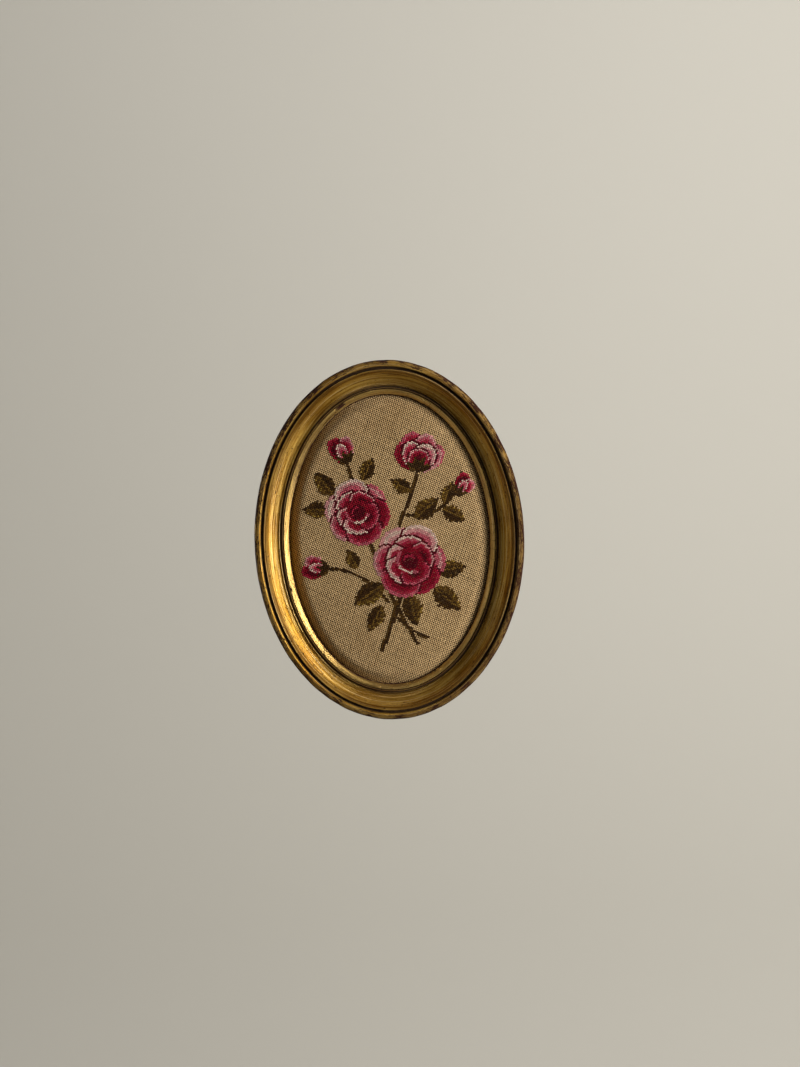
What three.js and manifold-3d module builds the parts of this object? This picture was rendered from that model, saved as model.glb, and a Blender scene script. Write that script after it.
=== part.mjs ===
// A framed embroidery: worked canvas stretched over a crowned board, set in an oval-turned gilt frame.
// Millimetres. X is to the right and Z is up for someone who looks at the front, which faces -Y. The wall
// is the plane Y = 0. The origin is the hanging point, where the nail below the hanger enters the wall.
//
// An oval lathe shifts the work along the long axis while it turns, so each line that it cuts is an
// ellipse, and the two half-axes of every line differ by the same amount.
import * as THREE from "three";
import { mergeVertices } from "three/addons/utils/BufferGeometryUtils.js";
import Module from "manifold-3d";

const wasm = await Module();
wasm.setup();

// Driving dimensions of the frame
const FRAME_WIDTH = 150;
const FRAME_HEIGHT = 200;
const FRAME_DEPTH = 20;
const SIGHT_INSET = 19.1; // from the outermost line to the edge where the cloth begins
const REBATE_INSET = 15;
const REBATE_DEPTH = 8.3;
const HANG_HEIGHT = 68; // the hanging point above the centre of the oval
const GAP = 0.3; // between pieces that touch

// Lines of the moulding. Each inset is measured inwards from the outermost line, each height from the wall.
const THUMB_RADIUS = 3; // the round that rises from the outer side to the crest
const CREST_RADIUS = 0.5; // the tight round from the crest down to the quirk
const CREST_TURN = 2.9; // radians, where the tight round ends
const QUIRK_AND_FILLET = [
  { inset: 3.8, height: 17.2 },
  { inset: 4.9, height: 17.2 },
  { inset: 5.3, height: 19.0 },
  { inset: 5.8, height: 19.2 },
];
const COVE = { start: 6.0, end: 13.2, top: 18.9, floor: 11.6 };
const RIDGES_AND_LIP = [
  { inset: 13.3, height: 12.1 },
  { inset: 13.6, height: 12.1 },
  { inset: 13.9, height: 10.7 },
  { inset: 14.4, height: 10.7 },
  { inset: 15.1, height: 12.0 },
  { inset: 15.4, height: 12.0 },
  { inset: 15.6, height: 11.1 },
  { inset: 15.8, height: 11.1 },
  { inset: 16.0, height: 12.0 },
  { inset: 16.8, height: 11.7 },
  { inset: 18.0, height: 10.7 },
];
const SIGHT_EDGE = 1; // thickness of the lip where it meets the cloth
const OUTER_SIDE = [
  { inset: 3.2, height: 0 },
  { inset: 2.2, height: 5 },
  { inset: 1.1, height: 11 },
  { inset: 0.3, height: 15 },
];

// Driving dimensions of the cloth, the board and the hanger
const CLOTH_THICKNESS = 1.5;
const BEVEL = { slope: 42, run: 4 }; // of the padding at the edge of the crown; degrees, and across the frame
const SHOULDER = { radius: 6, steps: 4 }; // the round from the bevel to the dome
const DOME = { slope: 8, rings: 4 }; // degrees at its rim, and level in the middle
const CROWN_CLEARANCE = 0.2; // how far inside the lip the crown ends
const FOLD_RADIUS = 1.2; // where the cloth turns back over the rim of the board
const BACK_RECESS = 4.5; // from the wall to the back of the board
const HANGER = {
  halfLength: 19,
  toothCount: 7,
  toothPitch: 2.8,
  toothDepth: 1.6,
  bodyHeight: 5.4,
  bridgeHalf: 11,
  rampLength: 1.5,
  lift: 1.4,
  thickness: 0.8,
  rivetRadius: 1.6,
  rivetHeight: 0.7,
};

const TURNS = 96; // facets round each oval
const RIVET_FACETS = 16;
const HALF_WIDTH = FRAME_WIDTH / 2;
const OVALITY = (FRAME_HEIGHT - FRAME_WIDTH) / 2;
const RIGHT_ANGLE = Math.PI / 2;

// A point of a section: inset is measured inwards from the outermost line, height out from the wall.
const at = (inset, height) => new THREE.Vector2(HALF_WIDTH - inset, height);

// Points on an elliptical arc in a section, from one angle to another, both ends included.
// Angle 0 points outwards and a right angle points to the front.
function arc(inset, height, acrossRadius, upRadius, from, to, steps) {
  const points = [];
  for (let i = 0; i <= steps; i++) {
    const angle = from + ((to - from) * i) / steps;
    points.push(at(inset - acrossRadius * Math.cos(angle), height + upRadius * Math.sin(angle)));
  }
  return points;
}

// A solid cut on the oval lathe. The section starts and ends on the axis, or closes on itself.
function ovalTurned(section) {
  const geometry = new THREE.LatheGeometry(section, TURNS);
  const position = geometry.getAttribute("position");
  for (let turn = 0; turn <= TURNS; turn++) {
    const shift = OVALITY * Math.cos((turn / TURNS) * 2 * Math.PI);
    for (let i = 0; i < section.length; i++) {
      const vertex = turn * section.length + i;
      position.setZ(vertex, position.getZ(vertex) + shift);
    }
  }
  geometry.rotateX(Math.PI); // the lathe's axis, which carries the heights, now points to the front
  geometry.computeVertexNormals();
  return geometry;
}

// Booleans: a closed three.js geometry as a solid, and back
function toSolid(geometry) {
  const bare = geometry.clone();
  bare.deleteAttribute("normal");
  bare.deleteAttribute("uv");
  const merged = mergeVertices(bare, 1e-4);
  return new wasm.Manifold(
    new wasm.Mesh({
      numProp: 3,
      vertProperties: new Float32Array(merged.getAttribute("position").array),
      triVerts: new Uint32Array(merged.index.array),
    }),
  );
}

function fromSolid(solid) {
  const mesh = solid.getMesh();
  const geometry = new THREE.BufferGeometry();
  geometry.setAttribute("position", new THREE.BufferAttribute(new Float32Array(mesh.vertProperties), 3));
  geometry.setIndex(Array.from(mesh.triVerts));
  geometry.computeVertexNormals();
  return geometry;
}

// Frame, from the outside in: a thumb moulding, a quirk, a fillet, a cove, two small ridges and a lip
function frameSection() {
  const places = (rows) => rows.map(({ inset, height }) => at(inset, height));
  const thumbBase = FRAME_DEPTH - THUMB_RADIUS;
  const crestBase = FRAME_DEPTH - CREST_RADIUS;
  const thumb = arc(THUMB_RADIUS, thumbBase, THUMB_RADIUS, THUMB_RADIUS, 0, RIGHT_ANGLE, 7);
  const crest = arc(THUMB_RADIUS, crestBase, CREST_RADIUS, CREST_RADIUS, RIGHT_ANGLE, CREST_TURN, 3).slice(1);
  const cove = arc(COVE.end, COVE.top, COVE.end - COVE.start, COVE.top - COVE.floor, 0, -RIGHT_ANGLE, 9);
  const rebate = [
    at(SIGHT_INSET, REBATE_DEPTH + SIGHT_EDGE),
    at(SIGHT_INSET, REBATE_DEPTH),
    at(REBATE_INSET, REBATE_DEPTH),
    at(REBATE_INSET, 0),
  ];
  const front = [...thumb, ...crest, ...places(QUIRK_AND_FILLET), ...cove, ...places(RIDGES_AND_LIP)];
  return [...front, ...rebate, ...places(OUTER_SIDE), front[0]];
}

// Half-axes across the frame: the cloth's outer rim, and the crown, which ends just inside the lip
const CLOTH_RADIUS = HALF_WIDTH - REBATE_INSET - GAP;
const CROWN_RADIUS = HALF_WIDTH - SIGHT_INSET - CROWN_CLEARANCE;
const CLOTH_RIM_HEIGHT = REBATE_DEPTH - GAP;

// A crowned face from the axis to the edge of its crown: a shallow dome, a round shoulder and a bevel.
// A face that lies deeper has its rim lower by its depth, and the edge of its crown as much further in.
function crownedFace(depth) {
  const steep = THREE.MathUtils.degToRad(BEVEL.slope);
  const gentle = THREE.MathUtils.degToRad(DOME.slope);
  const edge = new THREE.Vector2(CROWN_RADIUS - depth, CLOTH_RIM_HEIGHT - depth);
  const bevelTop = new THREE.Vector2(edge.x - BEVEL.run, edge.y + BEVEL.run * Math.tan(steep));
  const shoulder = [];
  for (let step = 0; step <= SHOULDER.steps; step++) {
    const slope = gentle + ((steep - gentle) * step) / SHOULDER.steps;
    const inwards = SHOULDER.radius * (Math.sin(steep) - Math.sin(slope));
    const upwards = SHOULDER.radius * (Math.cos(slope) - Math.cos(steep));
    shoulder.push(new THREE.Vector2(bevelTop.x - inwards, bevelTop.y + upwards));
  }
  const rim = shoulder[0];
  const dome = [];
  for (let ring = 0; ring < DOME.rings; ring++) {
    const share = ring / DOME.rings;
    const rise = (rim.x * Math.tan(gentle) * (1 - share ** 2)) / 2;
    dome.push(new THREE.Vector2(rim.x * share, rim.y + rise));
  }
  return [...dome, ...shoulder, edge];
}

// Cloth: a crowned sheet whose edge turns back over the rim of the board
function clothSection() {
  const inner = CLOTH_RADIUS - CLOTH_THICKNESS;
  const innerRim = CLOTH_RIM_HEIGHT - CLOTH_THICKNESS;
  const chamfer = FOLD_RADIUS * (1 - Math.SQRT1_2);
  const turnedEdge = [
    new THREE.Vector2(CLOTH_RADIUS - FOLD_RADIUS, CLOTH_RIM_HEIGHT),
    new THREE.Vector2(CLOTH_RADIUS - chamfer, CLOTH_RIM_HEIGHT - chamfer),
    new THREE.Vector2(CLOTH_RADIUS, CLOTH_RIM_HEIGHT - FOLD_RADIUS),
    new THREE.Vector2(CLOTH_RADIUS, BACK_RECESS),
    new THREE.Vector2(inner, BACK_RECESS),
    new THREE.Vector2(inner, innerRim),
  ];
  return [...crownedFace(0), ...turnedEdge, ...crownedFace(CLOTH_THICKNESS).reverse()].reverse();
}

// Board: flat at the back, crowned at the front
function boardSection() {
  const depth = CLOTH_THICKNESS + GAP;
  const radius = CLOTH_RADIUS - depth;
  const edgeAndBack = [
    new THREE.Vector2(radius, CLOTH_RIM_HEIGHT - depth),
    new THREE.Vector2(radius, BACK_RECESS),
    new THREE.Vector2(0, BACK_RECESS),
  ];
  return [...crownedFace(depth), ...edgeAndBack].reverse();
}

// Hanger: a thin plate bent out in the middle, with teeth on its lower edge and a rivet head at each end
function hangerGeometry() {
  const h = HANGER;
  const boardSide = BACK_RECESS - GAP;
  const wallSide = boardSide - h.thickness;

  const toothed = new THREE.Shape();
  const endRadius = (h.bodyHeight + h.toothDepth) / 2;
  const endHeight = (h.bodyHeight - h.toothDepth) / 2;
  const endCentre = h.halfLength - endRadius;
  for (let tooth = 0; tooth <= h.toothCount; tooth++) {
    const tip = (tooth - h.toothCount / 2) * h.toothPitch;
    if (tooth > 0) {
      toothed.lineTo(tip - h.toothPitch / 2, 0);
      toothed.lineTo(tip, -h.toothDepth);
    } else {
      toothed.moveTo(tip, -h.toothDepth);
    }
  }
  toothed.absarc(endCentre, endHeight, endRadius, -RIGHT_ANGLE, RIGHT_ANGLE, false);
  toothed.absarc(-endCentre, endHeight, endRadius, RIGHT_ANGLE, 3 * RIGHT_ANGLE, false);
  const outline = { depth: BACK_RECESS, bevelEnabled: false, curveSegments: 6 };
  const plate = new THREE.ExtrudeGeometry(toothed, outline);
  plate.rotateX(RIGHT_ANGLE); // drawn upright, then its depth runs from the wall to the board

  const bent = new THREE.Shape();
  const rampEnd = h.bridgeHalf + h.rampLength;
  const wallLine = [
    [-h.halfLength, wallSide],
    [-rampEnd, wallSide],
    [-h.bridgeHalf, wallSide - h.lift],
    [h.bridgeHalf, wallSide - h.lift],
    [rampEnd, wallSide],
    [h.halfLength, wallSide],
  ];
  const boardLine = wallLine.map(([x, height]) => [x, height + h.thickness]).reverse();
  [...wallLine, ...boardLine].forEach(([x, height], i) => {
    if (i === 0) {
      bent.moveTo(x, -height);
    } else {
      bent.lineTo(x, -height);
    }
  });
  const strip = new THREE.ExtrudeGeometry(bent, { depth: 4 * endRadius, bevelEnabled: false });
  strip.translate(0, 0, endHeight - 2 * endRadius);

  let solid = toSolid(plate).intersect(toSolid(strip));
  const rivetFoot = wallSide + h.thickness / 2;
  const rivetTop = wallSide - h.rivetHeight;
  const rivetSize = [h.rivetRadius, h.rivetRadius, rivetFoot - rivetTop, RIVET_FACETS];
  for (const side of [-1, 1]) {
    const rivet = new THREE.CylinderGeometry(...rivetSize);
    rivet.translate(side * endCentre, -(rivetFoot + rivetTop) / 2, endHeight);
    solid = solid.add(toSolid(rivet));
  }
  return fromSolid(solid);
}

// Materials, with the colours that the object shows
const gilt = new THREE.MeshStandardMaterial({ color: 0xa8812f, roughness: 0.38, metalness: 0.85 });
const linen = new THREE.MeshStandardMaterial({ color: 0xb79c74, roughness: 0.95, metalness: 0 });
const card = new THREE.MeshStandardMaterial({ color: 0x8b7657, roughness: 0.9, metalness: 0 });
const brass = new THREE.MeshStandardMaterial({ color: 0xa88b4e, roughness: 0.35, metalness: 0.9 });

function namedMesh(name, geometry, material) {
  const mesh = new THREE.Mesh(geometry, material);
  mesh.name = name;
  return mesh;
}

// The pieces that share the oval's centre hang below the origin. The hanger is drawn at the origin.
const ovals = new THREE.Group();
ovals.position.z = -HANG_HEIGHT;
ovals.add(namedMesh("oval_frame", ovalTurned(frameSection()), gilt));
ovals.add(namedMesh("embroidered_canvas", ovalTurned(clothSection()), linen));
ovals.add(namedMesh("crowned_board", ovalTurned(boardSection()), card));

const framedEmbroidery = new THREE.Group();
framedEmbroidery.add(ovals);
framedEmbroidery.add(namedMesh("sawtooth_hanger", hangerGeometry(), brass));

export default framedEmbroidery;
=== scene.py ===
"""A framed embroidery: roses worked in yarn on evenweave canvas, stretched in an oval-turned gilt frame.

Sizes are in millimetres and become metres when a mesh is made. A place on the object is given by x to the
right and z up from the centre of the oval, and by its height out from the wall. A place round the frame is
a clock angle, clockwise from the top as seen from the front.
"""

import math

import bmesh
import bpy
import numpy as np
from mathutils import Matrix, Vector


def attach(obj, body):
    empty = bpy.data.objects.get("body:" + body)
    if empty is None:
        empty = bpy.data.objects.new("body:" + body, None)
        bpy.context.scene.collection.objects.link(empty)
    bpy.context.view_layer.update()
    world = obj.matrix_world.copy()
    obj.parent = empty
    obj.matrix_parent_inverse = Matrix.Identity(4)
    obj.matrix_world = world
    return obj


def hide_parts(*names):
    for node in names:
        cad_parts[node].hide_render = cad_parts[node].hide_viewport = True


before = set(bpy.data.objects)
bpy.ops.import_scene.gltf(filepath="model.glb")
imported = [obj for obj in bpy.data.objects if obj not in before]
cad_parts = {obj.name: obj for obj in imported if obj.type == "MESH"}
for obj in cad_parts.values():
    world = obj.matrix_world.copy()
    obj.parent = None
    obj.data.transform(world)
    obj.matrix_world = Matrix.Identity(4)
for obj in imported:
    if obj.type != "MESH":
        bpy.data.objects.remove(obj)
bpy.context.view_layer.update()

MM = 0.001

# Sizes of the object, the same as the CAD's
HALF_WIDTH = 75.0
OVALITY = 25.0  # what the long half-axis of each line has over the short one
HALF_HEIGHT = HALF_WIDTH + OVALITY
FRAME_DEPTH = 20.0
CENTRE_BELOW_ORIGIN = 68.0
SIGHT_INSET = 19.1
REBATE_INSET = 15.0
REBATE_DEPTH = 8.3
SIGHT_EDGE = 1.0
GAP = 0.3
CLOTH_THICKNESS = 1.5
BEVEL_SLOPE = math.radians(42)
BEVEL_RUN = 4.0
SHOULDER_ROUND = 6.0
DOME_SLOPE = math.radians(8)
CROWN_CLEARANCE = 0.2
FOLD_RADIUS = 1.2
BACK_RECESS = 4.5
CLOTH_RADIUS = HALF_WIDTH - REBATE_INSET - GAP
CROWN_RADIUS = HALF_WIDTH - SIGHT_INSET - CROWN_CLEARANCE
CLOTH_RIM_HEIGHT = REBATE_DEPTH - GAP

# The canvas: plain weave, its two sets of threads a little out of square
PITCH = 1.04
WEFT_ANGLE = math.radians(-25.9)
WARP_ANGLE = math.radians(72.0)
WEAVE_SWAY = 1.1  # how far the cloth was pulled sideways above and below the middle
THREAD_HALF_WIDTH = 0.265
THREAD_HALF_THICKNESS = 0.25
THREAD_WAVE = 0.25  # how far a thread rises and dives
THREAD_BELLY = 0.35  # share of its half thickness that it has below its middle
WEAVE_LEVEL = 0.50  # middle of the weave, below the front of the cloth
THREAD_REACH = 2.2  # how far the threads run on under the lip
TUBE_CORNERS = 5  # points round a thread or a yarn
GRID_REACH = int(2.2 * HALF_HEIGHT / PITCH)  # threads each way from the middle, enough for the oval
LIP_REFLECTION_CLOCK = 262  # clock angle in degrees at which the painted gold reflection of the lip on the cloth is strongest
SLACK_WEFT = -1  # the thread that is thinner at the right, with painted shade along it
SLACK_FROM, SLACK_TO, SLACK_EASE = 32, 56, 5

# The yarn of a tent stitch, which crosses one crossing of the canvas
YARN_HALF_WIDTH = 0.42
YARN_HALF_THICKNESS = 0.23
YARN_BELLY = 0.4  # share of its half thickness below its middle
YARN_LEVEL = 0.42  # share of half a stitch up to which the yarn runs level
YARN_END_DROP = 0.42
YARN_END_WIDTH = 0.72  # share of its full width and thickness
YARN_RISE = 0.52  # middle of the yarn, above the middle of the weave
STITCH_REACH = 0.47  # half a stitch, in threads


def srgb(red, green, blue):
    """A colour given as on screen, from 0 to 255, as the linear colour that a shader takes."""
    def linear(level):
        level = level / 255
        return level / 12.92 if level <= 0.04045 else ((level + 0.055) / 1.055) ** 2.4
    return (linear(red), linear(green), linear(blue), 1.0)


# Yarn shades, and their screen colours
CREAM, PALE, PINK, ROSE, CRIMSON, WINE, LEAF_LIGHT, LEAF_GOLD, LEAF, LEAF_DARK = range(10)
YARNS = {
    CREAM: ("cream", srgb(212, 184, 168)),
    PALE: ("pale_pink", srgb(204, 144, 142)),
    PINK: ("pink", srgb(184, 86, 100)),
    ROSE: ("rose", srgb(160, 34, 58)),
    CRIMSON: ("crimson", srgb(128, 8, 32)),
    WINE: ("wine", srgb(82, 3, 20)),
    LEAF_LIGHT: ("leaf_light", srgb(146, 116, 50)),
    LEAF_GOLD: ("leaf_gold", srgb(106, 78, 30)),
    LEAF: ("leaf_brown", srgb(82, 56, 17)),
    LEAF_DARK: ("leaf_dark", srgb(56, 35, 10)),
}


# Places and meshes

def place(x, z, height):
    """Points of the row frame in metres, from places on the object."""
    x, z, height = np.broadcast_arrays(x, z, height)
    return np.stack([x * MM, -height * MM, (z - CENTRE_BELOW_ORIGIN) * MM], axis=-1)


def turned_points(clock, radius, height):
    """Points of the row frame, from clock angles, short half-axes of oval lines and heights."""
    return place(radius * np.sin(clock), (radius + OVALITY) * np.cos(clock), height)


def turned_radius(x, z):
    """The short half-axis of the oval line through a place, by halving. At the middle it is zero."""
    halvings = 32
    low = np.zeros(np.shape(x))
    high = np.full(np.shape(x), 2.0 * HALF_WIDTH)
    for _ in range(halvings):
        middle = (low + high) / 2
        outside = (x / np.maximum(middle, 1e-9)) ** 2 + (z / (middle + OVALITY)) ** 2 > 1
        low = np.where(outside, middle, low)
        high = np.where(outside, high, middle)
    return (low + high) / 2


def crown(radius, depth=0.0):
    """Height that a face of the cloth has above its rim at an oval line: bevel, round shoulder and dome."""
    inwards = np.maximum(CROWN_RADIUS - depth - radius, 0)
    bevel = np.minimum(inwards, BEVEL_RUN) * math.tan(BEVEL_SLOPE)
    round_run = SHOULDER_ROUND * (math.sin(BEVEL_SLOPE) - math.sin(DOME_SLOPE))
    sine = math.sin(BEVEL_SLOPE) - np.clip(inwards - BEVEL_RUN, 0, round_run) / SHOULDER_ROUND
    shoulder = SHOULDER_ROUND * (np.sqrt(1 - sine**2) - math.cos(BEVEL_SLOPE))
    dome_radius = CROWN_RADIUS - depth - BEVEL_RUN - round_run
    share = np.clip(radius / dome_radius, 0, 1)
    return bevel + shoulder + dome_radius * math.tan(DOME_SLOPE) * (1 - share**2) / 2


def cloth_height(x, z):
    """Height of the front of the cloth at a place."""
    return CLOTH_RIM_HEIGHT + crown(turned_radius(x, z))


def make_mesh(name, points, faces, material):
    """An object from an array of points and an array of faces with the same number of corners each."""
    points = np.asarray(points, np.float32).reshape(-1, 3)
    faces = np.asarray(faces, np.int32)
    corners = faces.shape[1]
    mesh = bpy.data.meshes.new(name)
    mesh.vertices.add(len(points))
    mesh.vertices.foreach_set("co", points.ravel())
    mesh.loops.add(faces.size)
    mesh.loops.foreach_set("vertex_index", faces.ravel())
    mesh.polygons.add(len(faces))
    mesh.polygons.foreach_set("loop_start", np.arange(0, faces.size, corners, dtype=np.int32))
    mesh.polygons.foreach_set("use_smooth", np.ones(len(faces), bool))
    mesh.update(calc_edges=True)
    mesh.validate()
    mesh.materials.append(material)
    piece = bpy.data.objects.new(name, mesh)
    bpy.context.scene.collection.objects.link(piece)
    return piece


def set_attribute(piece, name, values):
    """A number for each point of a piece, which its material reads."""
    attribute = piece.data.attributes.new(name, "FLOAT", "POINT")
    attribute.data.foreach_set("value", np.asarray(values, np.float32).ravel())


def weld(piece):
    """Joins the points that lie on each other, where an oval shrinks to a line."""
    joined = bmesh.new()
    joined.from_mesh(piece.data)
    bmesh.ops.remove_doubles(joined, verts=joined.verts, dist=1e-7)
    joined.to_mesh(piece.data)
    joined.free()


def grid_faces(rows, columns, wrap_rows=False, wrap_columns=False):
    """Quads of a grid of points, numbered row by row."""
    row, column = np.meshgrid(
        np.arange(rows if wrap_rows else rows - 1),
        np.arange(columns if wrap_columns else columns - 1),
        indexing="ij",
    )
    row, column = row.ravel(), column.ravel()
    this, following = row * columns, (row + 1) % rows * columns
    beside = (column + 1) % columns
    return np.stack([this + column, this + beside, following + beside, following + column], 1)


# Materials

class Paint:
    """A material that is built from procedural nodes, with short calls for the usual ones."""

    def __init__(self, name):
        self.material = bpy.data.materials.new(name)
        self.material.use_nodes = True
        self.tree = self.material.node_tree
        self.shader = self.tree.nodes["Principled BSDF"]
        self.place = self.add("ShaderNodeTexCoord").outputs["Object"]

    def add(self, kind, inputs=(), **settings):
        """A node with its settings, and with a value or a link for each input named."""
        node = self.tree.nodes.new(kind)
        for key, value in settings.items():
            setattr(node, key, value)
        for key, value in dict(inputs).items():
            self.feed(node.inputs[key], value)
        return node

    def feed(self, socket, value):
        if isinstance(value, bpy.types.NodeSocket):
            self.tree.links.new(value, socket)
        else:
            socket.default_value = value

    def set(self, **inputs):
        """Inputs of the shader, with underscores for the spaces of their names."""
        for key, value in inputs.items():
            self.feed(self.shader.inputs[key.replace("_", " ")], value)

    def attribute(self, name):
        return self.add("ShaderNodeAttribute", attribute_name=name).outputs["Fac"]

    def math(self, operation, a, b=0.0):
        return self.add("ShaderNodeMath", {0: a, 1: b}, operation=operation).outputs[0]

    def plus(self, a, b):
        return self.math("ADD", a, b)

    def times(self, a, b):
        return self.math("MULTIPLY", a, b)

    def most(self, first, *others):
        """The largest of two or more values."""
        for other in others:
            first = self.math("MAXIMUM", first, other)
        return first

    def band(self, value, low, high, start=0.0, end=1.0):
        """A smooth step from start to end while value goes from low to high."""
        inputs = {"Value": value, "From Min": low, "From Max": high, "To Min": start, "To Max": end}
        return self.add("ShaderNodeMapRange", inputs, interpolation_type="SMOOTHSTEP").outputs["Result"]

    def mix(self, share, a, b):
        """Colour a with a share of colour b."""
        node = self.add("ShaderNodeMix", data_type="RGBA")
        for index, value in ((0, share), (6, a), (7, b)):
            self.feed(node.inputs[index], value)
        return node.outputs[2]

    def noise(self, scale, detail=2.0, rough=0.5, vector=None, distortion=0.0):
        """Noise with so many cells to a metre, or to a unit of the vector given."""
        inputs = {
            "Vector": self.place if vector is None else vector,
            "Scale": scale,
            "Detail": detail,
            "Roughness": rough,
            "Distortion": distortion,
        }
        return self.add("ShaderNodeTexNoise", inputs).outputs["Fac"]

    def fibres(self, angle, across, along, detail=3.0, rough=0.6):
        """Noise drawn out along a direction in the cloth's plane, with so many cells to a metre each way."""
        through = 400.0
        inputs = {"Vector": self.place, "Rotation": (0, angle, 0)}
        turned = self.add("ShaderNodeMapping", inputs, vector_type="POINT").outputs[0]
        inputs = {"Vector": turned, "Scale": (along, through, across)}
        drawn_out = self.add("ShaderNodeMapping", inputs, vector_type="POINT").outputs[0]
        return self.noise(1.0, detail, rough, drawn_out)

    def vector(self, x, y, z=0.0):
        return self.add("ShaderNodeCombineXYZ", {0: x, 1: y, 2: z}).outputs[0]

    def toned(self, colour, tone):
        """The colour made lighter or darker by a value."""
        return self.add("ShaderNodeHueSaturation", {"Value": tone, "Color": colour}).outputs[0]

    def bump(self, height, depth, strength=1.0, normal=None):
        """Relief of a depth in metres, over the relief that normal already has."""
        inputs = {"Height": height, "Distance": depth, "Strength": strength}
        if normal is not None:
            inputs["Normal"] = normal
        return self.add("ShaderNodeBump", inputs).outputs["Normal"]


def dark_specks(paint):
    """Small round specks of dirt, in one cell of seven."""
    cells = paint.add("ShaderNodeTexVoronoi", {"Vector": paint.place, "Scale": 230.0}, feature="F1")
    chance = paint.add("ShaderNodeSeparateColor", {0: cells.outputs["Color"]}).outputs[0]
    rare = paint.math("GREATER_THAN", chance, 0.86)
    return paint.times(rare, paint.band(cells.outputs["Distance"], 0.05, 0.14, 1.0, 0.0))


def hairline_cracks(paint, clock, inset):
    """Fine cracks across the rim, the fillet and the lip, here and there round the frame."""
    wobble = paint.times(paint.noise(260.0, 2.0), 0.05)
    cells = {"W": paint.plus(clock, wobble), "Scale": 11.0}
    line = paint.add("ShaderNodeTexVoronoi", cells, feature="DISTANCE_TO_EDGE", voronoi_dimensions="1D")
    crack = paint.band(line.outputs["Distance"], 0.0, 0.02, 1.0, 0.0)
    near_edge = paint.most(paint.band(inset, 5.0, 6.4, 1.0, 0.0), paint.band(inset, 14.4, 15.2))
    crack = paint.times(crack, near_edge)
    return paint.times(crack, paint.band(paint.noise(45.0, 1.0), 0.45, 0.6))


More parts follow.
